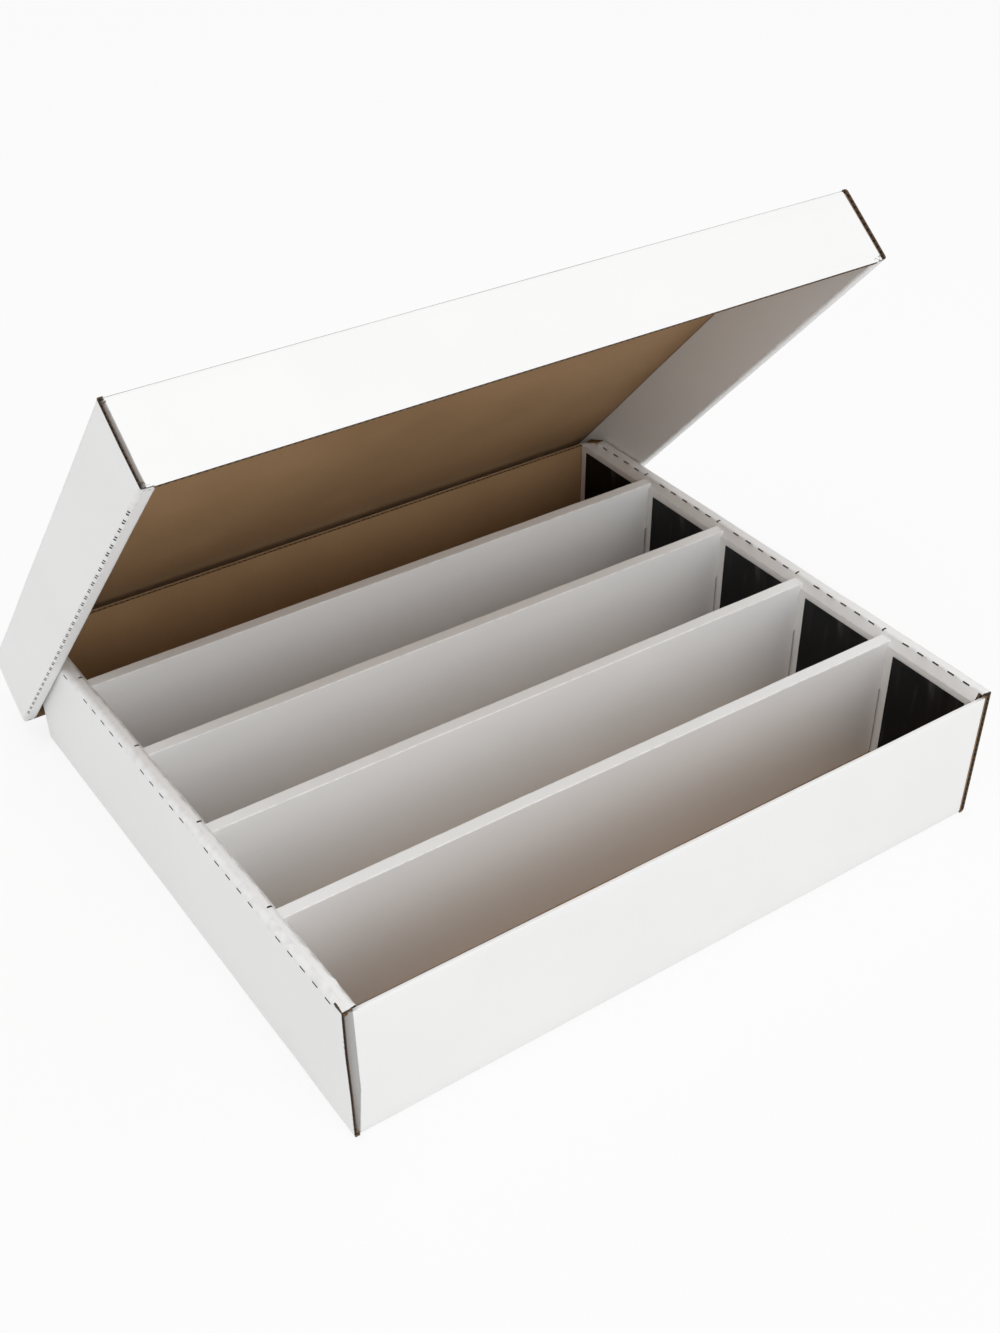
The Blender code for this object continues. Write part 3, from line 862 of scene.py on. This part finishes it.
first_divider = joined("divider_1_board", divider_sheets)
divider_boards = [first_divider]
for number in range(2, ROWS):
    copy = first_divider.copy()
    copy.data = first_divider.data.copy()
    copy.name = f"divider_{number}_board"
    bpy.context.scene.collection.objects.link(copy)
    divider_boards.append(copy)
for number, (middle, piece) in enumerate(zip(DIVIDER_MIDDLES, divider_boards), 1):
    piece.data.transform(Matrix.Translation((0, middle * MM, 0)))
    body = f"divider_{number}"
    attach(piece, body)
    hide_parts(body + "_front_leaf", body + "_back_leaf", body + "_top_fold")
print(len(divider_boards), "dividers at", [round(v, 1) for v in DIVIDER_MIDDLES])

# %% [markdown]
# ## The row labels
# A glossy black card stands at the right end of each row. The printed card has soft vertical streaks where its
# film catches the light. Each is a thin sheet, one card wide, and its corners lift a little.

# %% Glossy black finish
label_black = bpy.data.materials.new("label_black_film")
label_black.use_nodes = True
label_tree = label_black.node_tree
label_shader = label_tree.nodes["Principled BSDF"]
label_flat = label_tree.nodes.new("ShaderNodeUVMap")
label_flat.uv_map = "flat_board"
label_stretch = label_tree.nodes.new("ShaderNodeMapping")
label_stretch.inputs["Scale"].default_value = (16, 95, 1)
link(label_tree, label_flat, "UV", label_stretch, "Vector")
streak = label_tree.nodes.new("ShaderNodeTexNoise")
streak.inputs["Scale"].default_value = 1
streak.inputs["Detail"].default_value = 2
link(label_tree, label_stretch, "Vector", streak, "Vector")
label_colour = ramp(
    label_tree, streak, 0,
    [(0.52, (0.003, 0.003, 0.004)), (0.62, (0.010, 0.010, 0.011)), (0.72, (0.045, 0.043, 0.043))],
)
label_shader.inputs["Specular IOR Level"].default_value = 0.18
label_tree.links.new(label_colour.outputs["Color"], label_shader.inputs["Base Color"])
label_rough = label_tree.nodes.new("ShaderNodeMapRange")
label_rough.inputs["From Min"].default_value = 0.4
label_rough.inputs["From Max"].default_value = 0.75
label_rough.inputs["To Min"].default_value = 0.3
label_rough.inputs["To Max"].default_value = 0.5
link(label_tree, streak, 0, label_rough, "Value")
link(label_tree, label_rough, 0, label_shader, "Roughness")
print("label finish", label_black.name)

# %% Lay the five labels
LABEL_HALF = 31.75
LABEL_TOP = corner("row_label_1", 1).z
LABEL_FOOT = corner("row_label_1", 0).z
LABEL_X = corner("row_label_1", 0).x
for number, middle in enumerate(ROW_MIDDLES, 1):
    def label_section(_stop):
        """A straight line up the label."""
        return [Vector((0, LABEL_FOOT + (LABEL_TOP - LABEL_FOOT) * part / 12)) for part in range(13)], []

    def label_place(point, y, middle=middle, number=number):
        lift = 0.25 * noise.noise(Vector((y / 25, point.y / 30, number * 4.0)))
        return LABEL_X + 0.15 - abs(lift), y + middle, point.y

    label = lay_sheet(
        f"row_label_card_{number}", label_section, stop_list(-LABEL_HALF, LABEL_HALF, 7, []), label_place,
        (-1, 0, 0), thickness=0.35, papers=(WHITE_INDEX,) * 3,
    )
    label.data.materials.clear()
    label.data.materials.append(label_black)
    label = joined(label.name, [label])
    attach(label, "tray")
    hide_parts(f"row_label_{number}")

# %% [markdown]
# ## The lid
# The lid is folded closed, as its maker would draw it, and then its mesh is turned open about the line where
# it tips. Its front wall leans out a little to the rim, so the ends of all its panels follow that slope.

# %% Sizes of the closed lid
PANEL_TOP = 107.6
RIM_Z = 55.1
LID_X = 252.5
PANEL_EDGE_X = 248.9
LID_INNER_X = 242.9
LID_BACK_Y = 218.0
LID_WALL_END = 214.7
AXIS_Y = 173.79
AXIS_Z = 21.6
LID_TURN = math.radians(-48.5)
FRONT_HIGH_Y = -216.73
FRONT_RIM_Y = -220.23
LID_TAB_X = 249.2
axis_place = Vector((0, AXIS_Y, AXIS_Z)) * MM
LID_OPEN = Matrix.Translation(axis_place) @ Matrix.Rotation(LID_TURN, 4, "X") @ Matrix.Translation(-axis_place)


def lid_front(z, inward=0.0):
    """Y of the lid's front face at a level, or of a plane further inside."""
    share = (PANEL_TOP - z) / (PANEL_TOP - RIM_Z)
    return FRONT_HIGH_Y - BOARD + (FRONT_RIM_Y - FRONT_HIGH_Y) * share + inward


def hang(piece):
    """Turn a lid piece open, and let it ride on the lid."""
    piece.data.transform(LID_OPEN)
    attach(piece, "lid")


print("lid", 2 * LID_X, "x", round(LID_BACK_Y - lid_front(RIM_Z), 1), "x", round(PANEL_TOP - RIM_Z, 1), "mm")

# %% [markdown]
# ## The lid's end walls
# They roll over at the rim just as the tray's end walls roll at their crest. Along the rim's outer fold the
# perforations are short and stand in pairs, and the paper between them is uneven. The front edge follows the
# slope of the front wall, so two marker stops stand for it and for the plane just behind it.

# %% Fold the lid's end walls
LID_DASH_PITCH = 12.0
LID_FIRST_DASH = -190.0
lid_dashes = [
    (y + shift - 0.9, y + shift + 0.9)
    for y in [LID_FIRST_DASH + LID_DASH_PITCH * step for step in range(33)] for shift in (-1.7, 1.7)
]


def lid_end_corners(_stop):
    """Corners of a lid end wall's face, from the panel's edge over the rim to the inside."""
    return [
        Vector((PANEL_EDGE_X, PANEL_TOP)), Vector((LID_X, PANEL_TOP)),
        Vector((LID_X, 80)), Vector((LID_X, RIM_Z)),
        Vector((LID_INNER_X, RIM_Z)), Vector((LID_INNER_X, 80)), Vector((LID_INNER_X, 104.2)),
    ]


LID_RADII = [2.0, 0, 2.2, 2.0, 0]
LID_INNER_RADII = [0.5, 0, 0.8, 0.6, 0]
lid_marks = rounded(lid_end_corners(0), LID_RADII)[1]
lid_last = lid_marks[-1][1] + 1
LID_EDGE = -1000.0
LID_NEXT = -999.0
lid_stops = [LID_EDGE, LID_NEXT] + stop_list(
    -212.0, LID_BACK_Y, 14, [v for pair in lid_dashes for v in pair] + [LID_WALL_END, LID_BACK_Y - FLUTE_DEPTH]
)


def lid_end(side, name):
    """One end wall of the lid; side is -1 on the left."""
    def place(point, y):
        if y == LID_EDGE:
            y = lid_front(point.y)
        elif y == LID_NEXT:
            y = lid_front(point.y, BOARD + 0.3)
        across = point.x + 0.35 * noise.noise(Vector((y / 80, point.y / 40, 6 + side)))
        up = point.y
        if side < 0:
            across += crushed(LID_X - point.x, y - lid_front(point.y))
            up -= crushed(point.y - RIM_Z, y - lid_front(point.y))
        if point.y < RIM_Z + 4 and point.x > LID_X - 5:
            along_pitch = (y - LID_FIRST_DASH + LID_DASH_PITCH / 2) % LID_DASH_PITCH
            off_dash = abs(along_pitch - LID_DASH_PITCH / 2) / LID_DASH_PITCH
            swell = off_dash * (1 + noise.noise(Vector((y / 7, 3 * side, 9.4))))
            up += 0.5 * swell
            across -= 0.5 * (0.5 - off_dash)
        return side * across, y, up

    inner_first = lid_marks[3][0]
    cuts = [(inner_first, lid_last, LID_EDGE, LID_NEXT), (inner_first, lid_last, LID_WALL_END, LID_BACK_Y)]
    cuts += [(lid_marks[2][0] + 1, lid_marks[2][0] + 4, start, stop) for start, stop in lid_dashes]
    sheets = board(
        name, lid_end_corners, LID_RADII, LID_INNER_RADII, lid_stops, place, (0, 0, 1), cuts, inside=-1
    )

    def waves_place(point, t):
        return place(point, t) if t >= 0 else place(point, LID_EDGE if t < -1.5 else -212.0)

    outer_line = lid_end_corners(0)[:5]
    for start, stop in ((-2.0, -1.0), (LID_BACK_Y - FLUTE_DEPTH, LID_BACK_Y)):
        sheets.append(
            lay_flutes(name + "_waves", outer_line, LID_INNER_RADII[:3], start, stop, waves_place, inside=-1)
        )
    return joined(name, sheets)


for side, end in ((-1, "left"), (1, "right")):
    wall = lid_end(side, f"lid_{end}_end_board")
    hang(wall)
    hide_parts(f"lid_{end}_outer_ply", f"lid_{end}_roll_band", f"lid_{end}_inner_ply")

# %% [markdown]
# ## The lid's panel and long walls
# The panel is white on top and kraft inside. Its long walls carry tabs that go in between the plies of the
# end walls, as the tray's do.

# %% Lay the lid's panel
def panel_section(_stop):
    """A straight line across the panel."""
    return [Vector((PANEL_EDGE_X * (part / 12 - 1), 0)) for part in range(25)], []


panel_front = lid_front(PANEL_TOP) + 2.0
panel_stops = stop_list(panel_front, LID_BACK_Y - 2.0, 20, [])


def panel_bow(x, y):
    """The panel sinks a little in its middle."""
    return 0.8 * math.cos(math.pi * x / (2 * LID_X)) * math.cos(math.pi * y / (2 * LID_BACK_Y))


panel_sheets = [
    lay_sheet(
        "panel_face", panel_section, panel_stops, lambda p, y: (p.x, y, PANEL_TOP - panel_bow(p.x, y)),
        (0, 0, 1),
    ),
    lay_sheet(
        "panel_back", panel_section, panel_stops, lambda p, y: (p.x, y, PANEL_TOP - BOARD - panel_bow(p.x, y)),
        (0, 0, -1), papers=BACK_PAPERS,
    ),
]
panel = joined("lid_panel_board", panel_sheets)
hang(panel)
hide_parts("lid_top_panel")

# %% Fold the lid's long walls
LID_TAB_END = 40.0
LID_TAB_LOW = 58.4


def lid_long_wall(name, facing, loose):
    """A long wall of the lid with its tabs; facing is -1 for the front."""
    def wall_y(z):
        return -lid_front(z) if facing < 0 else LID_BACK_Y

    def corners_at(z, more=0.0):
        face = wall_y(z)
        half = LID_TAB_X
        wall = [Vector((half * (2 * part / WALL_POINTS - 1), face)) for part in range(1, WALL_POINTS + 1)]
        bend = left_bend(half, face, 1.3 if loose else 0.0, (1.4 if loose else 2.0) + more)
        return [Vector((-half, face - LID_TAB_END)), *bend, *wall, Vector((half, face - LID_TAB_END))]

    radii = [0, 0.5, 0.6] + [0] * (WALL_POINTS - 1) + [1.0]
    inner_radii = [0, 0.3, 0.3] + [0] * (WALL_POINTS - 1) + [0.4]

    def place(point, z):
        y = point.y
        if y > wall_y(z) - 4:
            y -= foot_shift(PANEL_TOP - z)
            y -= 0.3 * abs(noise.noise(Vector((point.x / 60, z / 30, 4.0 + facing))))
        return point.x, facing * y, z

    stops = stop_list(
        RIM_Z, PANEL_TOP, 10, [LID_TAB_LOW, PANEL_TOP - 0.6, PANEL_TOP - 1.4, PANEL_TOP - FOOT_ROUND]
    )
    marks = rounded(corners_at(80), radii)[1]
    last = marks[-1][1] + 2
    cuts = []
    for start, stop in ((RIM_Z, LID_TAB_LOW), (PANEL_TOP - FOOT_ROUND, PANEL_TOP)):
        cuts += [(0, marks[1][0] + 1, start, stop), (marks[-1][1] - 1, last, start, stop)]
    # The lid's loose front bend also gets painted shade, grey for the hollow of the bend.
    shaded_span = (marks[1][0], marks[2][1]) if loose else (0, 0)
    sheets = [
        lay_sheet(
            name + "_face", lambda z: rounded(corners_at(z), radii), stops, place, (-1, 0, 0), cuts,
            shaded_span=shaded_span,
        ),
        lay_sheet(
            name + "_back", lambda z: rounded(beside(corners_at(z, BOARD), -BOARD), inner_radii),
            [z for z in stops if z <= PANEL_TOP - BOARD] + [PANEL_TOP - BOARD], place, (1, 0, 0), cuts,
            papers=BACK_PAPERS,
        ),
    ]
    rim_line = corners_at(RIM_Z)[3:-1]

    def waves_place(point, z):
        return place(Vector((point.x, point.y + wall_y(z) - wall_y(RIM_Z))), z)

    sheets.append(
        lay_flutes(
            name + "_waves", rim_line, [0] * (WALL_POINTS - 1), RIM_Z + 0.1, RIM_Z + FLUTE_DEPTH, waves_place,
            inside=-1,
        )
    )
    return joined(name, sheets)


lid_front_wall = lid_long_wall("lid_front_board", -1, True)
hang(lid_front_wall)
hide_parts("lid_front_wall", "lid_corner_tab_front_left", "lid_corner_tab_front_right")
lid_back_wall = lid_long_wall("lid_back_board", 1, False)
hang(lid_back_wall)
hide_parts("lid_back_wall", "lid_corner_tab_back_left", "lid_corner_tab_back_right")

# %% [markdown]
# ## Floor and light
# The box stands on a plain pale floor, mostly in the even light of the world. Two large soft lamps, in front
# and above, add a little, because the front faces and the tops are the whitest ones in the photograph. To the
# camera the floor is mostly a plain white glow, which leaves only a soft shadow of the box.

# %% Floor
bpy.ops.object.select_all(action="DESELECT")
bpy.ops.mesh.primitive_plane_add(size=14, location=(0, 0, 0))
ground = bpy.context.object
ground.name = "ground"
ground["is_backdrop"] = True
ground_material = bpy.data.materials.new("pale_floor")
ground_material.use_nodes = True
ground_tree = ground_material.node_tree
ground_shader = ground_tree.nodes["Principled BSDF"]
ground_shader.inputs["Base Color"].default_value = (0.86, 0.86, 0.86, 1)
ground_shader.inputs["Roughness"].default_value = 0.9
ground_shader.inputs["Specular IOR Level"].default_value = 0.1


def seen_directly(tree):
    """1 for rays that the camera, a reflection or a clear piece sends."""
    path = tree.nodes.new("ShaderNodeLightPath")
    either = maths(tree, "MAXIMUM", (path, "Is Camera Ray"), (path, "Is Glossy Ray"))
    return maths(tree, "MAXIMUM", (either, 0), (path, "Is Transmission Ray"))


glow = ground_tree.nodes.new("ShaderNodeEmission")
glow.inputs["Strength"].default_value = 1.0
share = maths(ground_tree, "MULTIPLY", (seen_directly(ground_tree), 0), 0.8)
blend = ground_tree.nodes.new("ShaderNodeMixShader")
link(ground_tree, share, 0, blend, "Fac")
ground_tree.links.new(ground_shader.outputs[0], blend.inputs[1])
ground_tree.links.new(glow.outputs[0], blend.inputs[2])
ground_tree.links.new(blend.outputs[0], ground_tree.nodes["Material Output"].inputs["Surface"])
ground.data.materials.append(ground_material)

# %% World and lamps
world = bpy.data.worlds.new("studio")
bpy.context.scene.world = world
world.use_nodes = True
world_tree = world.node_tree
background = world_tree.nodes["Background"]
background.inputs["Color"].default_value = (1, 1, 1, 1)
AMBIENT = 0.86
strength = maths(world_tree, "MULTIPLY_ADD", (seen_directly(world_tree), 0), 1 - AMBIENT, AMBIENT)
link(world_tree, strength, 0, background, "Strength")


def lamp(name, place, target, size, power):
    """A square soft lamp that points at a target."""
    data = bpy.data.lights.new(name, "AREA")
    data.size = size
    data.energy = power
    light = bpy.data.objects.new(name, data)
    bpy.context.scene.collection.objects.link(light)
    light.location = place
    light.rotation_euler = (Vector(target) - Vector(place)).to_track_quat("-Z", "Y").to_euler()
    return light


lamp("front_lamp", (0.2, -2.6, 1.5), (0, 0, 0.1), 1.6, 10)
lamp("top_lamp", (-0.5, -0.9, 2.5), (0, 0, 0.1), 1.8, 11)
scene = bpy.context.scene
scene.view_settings.view_transform = "Standard"

# %% Compare the sizes and finish
low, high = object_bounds()
grown_high = [round((a - b) / MM, 2) for a, b in zip(high, cad_high)]
grown_low = [round((b - a) / MM, 2) for a, b in zip(low, cad_low)]
print("grown by", grown_high, "and", grown_low, "mm")
